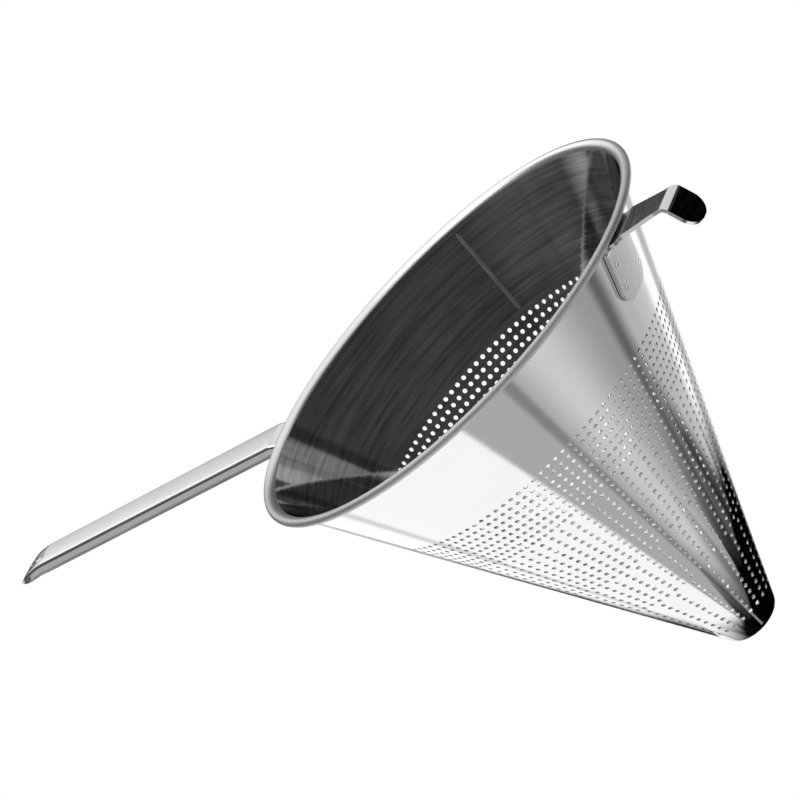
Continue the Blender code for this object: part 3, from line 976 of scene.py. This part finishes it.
# A narrow card beside it, for the dark line along the cone's lower edge. Each row: its far edge,
# its middle and its clear edge in millimetres, and how dense the far edge and the middle are
EDGE_CARD = (
    ((-60, 45), (-55, 0), (-44, -40), 0.92, 0.88),
    ((-100, 60), (-88, 5), (-62, -45), 0.94, 0.9),
    ((-150, 90), (-130, 25), (-98, -38), 0.88, 0.76),
    ((-205, 120), (-186, 45), (-150, -18), 0.9, 0.76),
    ((-270, 160), (-250, 75), (-218, 5), 0.8, 0.66),
    ((-340, 205), (-310, 100), (-268, 25), 0.5, 0.55),
    ((-400, 235), (-380, 145), (-350, 80), 0.35, 0.4),
    ((-540, 320), (-510, 200), (-470, 110), 0.1, 0.25),
)
CARD_LIFT = -0.0001
SLIT = ((12, -9), (36, -31))
SLIT_HALF = 0.0018
SLIT_LIFT = 0.0002
SLIT_GREY = 0.3


def soft_cloth():
    """Black cloth, as dense as the mesh's cover says."""
    material = glowing("black_flag_cloth", 0.0)
    n = Nodes(material.node_tree)
    cover = n.add("ShaderNodeAttribute", attribute_name="cover").outputs["Fac"]
    shader = material.node_tree.nodes["Principled BSDF"]
    n.join(n.ranged(cover, 0.0, 1.0, 0.0, 1.0), shader.inputs["Alpha"])
    return material


def cloth(name, points, faces, covers, lift):
    """A sheet of black cloth from points in millimetres, each with its cover."""
    mesh = bpy.data.meshes.new(name)
    mesh.from_pydata([(x / 1000, y / 1000, FLAG_HEIGHT + lift) for x, y in points], [], faces)
    cover = mesh.attributes.new("cover", "FLOAT", "POINT")
    cover.data.foreach_set("value", covers)
    mesh.materials.append(CLOTH)
    return piece(name, mesh)


def make_flag():
    count = len(FLAG_EDGE)
    dense = [row[0] for row in FLAG_EDGE]
    clear = [row[1] for row in FLAG_EDGE]
    faces = []
    for i in range(count):
        following = (i + 1) % count
        faces.append((0, 1 + i, 1 + following))
        faces.append((1 + i, 1 + count + i, 1 + count + following, 1 + following))
    covers = [1.0] + [share for _, _, share in FLAG_EDGE] + [0.0] * count
    return cloth("black_flag", [FLAG_MIDDLE] + dense + clear, faces, covers, 0.0)


def make_core():
    count = len(FLAG_CORE)
    return cloth("black_flag_core", FLAG_CORE, [tuple(range(count))], [1.0] * count, CORE_LIFT)


def make_edge_card():
    points, covers, faces = [], [], []
    for i, (far, middle, clear, far_cover, middle_cover) in enumerate(EDGE_CARD):
        points += [far, middle, clear]
        covers += [far_cover, middle_cover, 0.0]
        if i:
            last, this = 3 * (i - 1), 3 * i
            faces += [(last, last + 1, this + 1, this), (last + 1, last + 2, this + 2, this + 1)]
    return cloth("edge_card", points, faces, covers, CARD_LIFT)


def make_slit():
    """A dim line of light across the flag."""
    start, end = (Vector(point) / 1000 for point in SLIT)
    aside = (end - start).orthogonal().normalized() * SLIT_HALF
    corners = [start - aside, end - aside, end + aside, start + aside]
    return flat_mesh("flag_slit", corners, FLAG_HEIGHT + SLIT_LIFT, glowing("flag_slit", SLIT_GREY))


CLOTH = soft_cloth()
flag = make_flag()
core = make_core()
edge_card = make_edge_card()
slit = make_slit()
for unseen in (flag, core, edge_card, slit):
    unseen.visible_camera = False
    unseen.visible_shadow = False
    unseen.visible_diffuse = False

# Panels of the studio, seen from the object: middle and half width of direction, middle and half
# width of elevation, softness of the edges, all in degrees, and brightness. Later ones cover
# earlier ones.
PANELS = (
    ("ground", 0, 400, -60, 42, 3, 0.42),
    ("ground_slope", -6, 24, -60, 42, 24, 0.81),
    ("ground_edge", 141, 7, -50, 42, 3, 0.68),
    ("ground_white", 207, 58, -60, 42, 4, 1.27),
    ("ground_line", 173.5, 2.5, -60, 42, 2, 0.84),
    ("ground_grey", -73, 22, -60, 42, 3, 0.53),
    ("ground_dark", -44.5, 5, -60, 42, 3, 0.30),
    ("ground_middle", 70, 10, -60, 42, 3, 0.60),
    ("ground_band", 51.5, 4.5, -60, 42, 3.5, 0.16),
    ("ground_side", 92, 13, -60, 42, 13, 0.84),
    ("ground_far", 124, 11, -50, 42, 3, 1.0),
    ("ground_far_grey", 111, 6, -50, 42, 3, 0.60),
    ("ground_far_white", 97.5, 6.5, -50, 42, 3, 1.27),
    ("overhead", 0, 400, 75, 25, 4, 1.0),
    ("window", 146, 14, 30, 18, 2, 0.86),
    ("window_bright", 156, 20, 38, 13, 5, 1.60),
    ("window_corner", 126, 9, 31, 8, 3, 0.93),
    ("beside_window", -164, 32, 32, 17, 4, 0.10),
    ("beside_low", -173, 12, 6, 4, 4, 0.33),
    ("beside_dim", -152, 12, 17, 3.5, 3, 0.10),
    ("beside_far", -113, 18, 23, 5, 4, 0.09),
    ("beside_glow", -116, 13, 35.5, 4.5, 3, 0.22),
    ("front_fill", -50, 60, 5, 14, 4, 0.40),
    ("low_side", -135, 14, -7, 12, 3, 0.54),
    ("low_side_dark", -135, 16, -29, 10.5, 3, 0.17),
    ("high_side", 90, 38, 46, 19, 4, 1.0),
    ("black_card", 60, 26, 4, 8, 2, 0.0),
    ("above_patch", 58, 12, 21, 5.5, 2, 0.03),
    ("patch_upper", 57.5, 3.5, 14.5, 2, 1, 0.24),
    ("patch", 63.5, 3.5, 12.3, 2.4, 1, 0.26),
    ("patch_middle", 69, 3.5, 10, 2.4, 1, 0.24),
    ("patch_bright", 79, 7, 7.2, 3.2, 1, 0.40),
)
REST_OF_ROOM = 0.06
SOFTEST_HEIGHT = 4            # of a panel's upper and lower edges, in degrees


def make_world():
    world = bpy.data.worlds.new("studio")
    world.use_nodes = True
    bpy.context.scene.world = world
    n = Nodes(world.node_tree)
    background = world.node_tree.nodes["Background"]
    look = n.add("ShaderNodeTexCoord").outputs["Generated"]
    parts = n.add("ShaderNodeSeparateXYZ")
    n.join(look, parts.inputs[0])
    x, y, z = parts.outputs
    direction = n.math("DEGREES", n.math("ARCTAN2", y, x))
    elevation = n.math("DEGREES", n.math("ARCSINE", z))
    value = None
    for _, middle, half, high_middle, high_half, soft, brightness in PANELS:
        turn = n.math("WRAP", n.math("SUBTRACT", direction, middle), 180.0, -180.0)
        sideways = n.ranged(n.math("ABSOLUTE", turn), half - soft, half + soft, 1.0, 0.0)
        up = n.math("ABSOLUTE", n.math("SUBTRACT", elevation, high_middle))
        high_soft = min(soft, SOFTEST_HEIGHT)
        upwards = n.ranged(up, high_half - high_soft, high_half + high_soft, 1.0, 0.0)
        mask = n.math("MULTIPLY", sideways, upwards)
        mix = n.add("ShaderNodeMix", data_type="FLOAT")
        n.join(mask, mix.inputs["Factor"])
        if value is None:
            mix.inputs[2].default_value = REST_OF_ROOM
        else:
            n.join(value, mix.inputs[2])
        mix.inputs[3].default_value = brightness
        value = mix.outputs[0]
    seen = n.add("ShaderNodeLightPath").outputs["Is Camera Ray"]
    mix = n.add("ShaderNodeMix", data_type="FLOAT")
    n.join(seen, mix.inputs["Factor"])
    n.join(value, mix.inputs[2])
    mix.inputs[3].default_value = 1.0
    n.join(mix.outputs[0], background.inputs["Color"])


make_world()

# A soft lamp that looks at the tip
LAMP_PLACE = Vector((-0.5, -0.3, 1.8))
LAMP_SIZE = 1.2
LAMP_POWER = 4.0

lamp = bpy.data.lights.new("soft_light", "AREA")
lamp.shape = "DISK"
lamp.size = LAMP_SIZE
lamp.energy = LAMP_POWER
lamp_object = bpy.data.objects.new("soft_light", lamp)
lamp_object.location = LAMP_PLACE
lamp_object.rotation_euler = LAMP_PLACE.to_track_quat("Z", "Y").to_euler()
bpy.context.scene.collection.objects.link(lamp_object)

# Camera at the photograph's viewing angle
CAMERA_PLACE = (1.2774, -1.3732, 0.8131)
CAMERA_RIGHT = (0.64024, 0.31217, -0.70189)
CAMERA_UP = (0.3861, 0.65913, 0.64534)
CAMERA_BACK = (0.6641, -0.68417, 0.30147)
CAMERA_LENS = 180.0
CAMERA_SENSOR = 36.0
CAMERA_NEAREST = 0.05
CAMERA_FARTHEST = 100.0

camera_data = bpy.data.cameras.new("camera")
camera_data.lens = CAMERA_LENS
camera_data.sensor_width = CAMERA_SENSOR
camera_data.clip_start = CAMERA_NEAREST
camera_data.clip_end = CAMERA_FARTHEST
camera = bpy.data.objects.new("camera", camera_data)
bpy.context.scene.collection.objects.link(camera)
axes = Matrix((CAMERA_RIGHT, CAMERA_UP, CAMERA_BACK)).transposed().to_4x4()
camera.matrix_world = Matrix.Translation(CAMERA_PLACE) @ axes
bpy.context.scene.camera = camera
bpy.context.scene.view_settings.view_transform = "Standard"
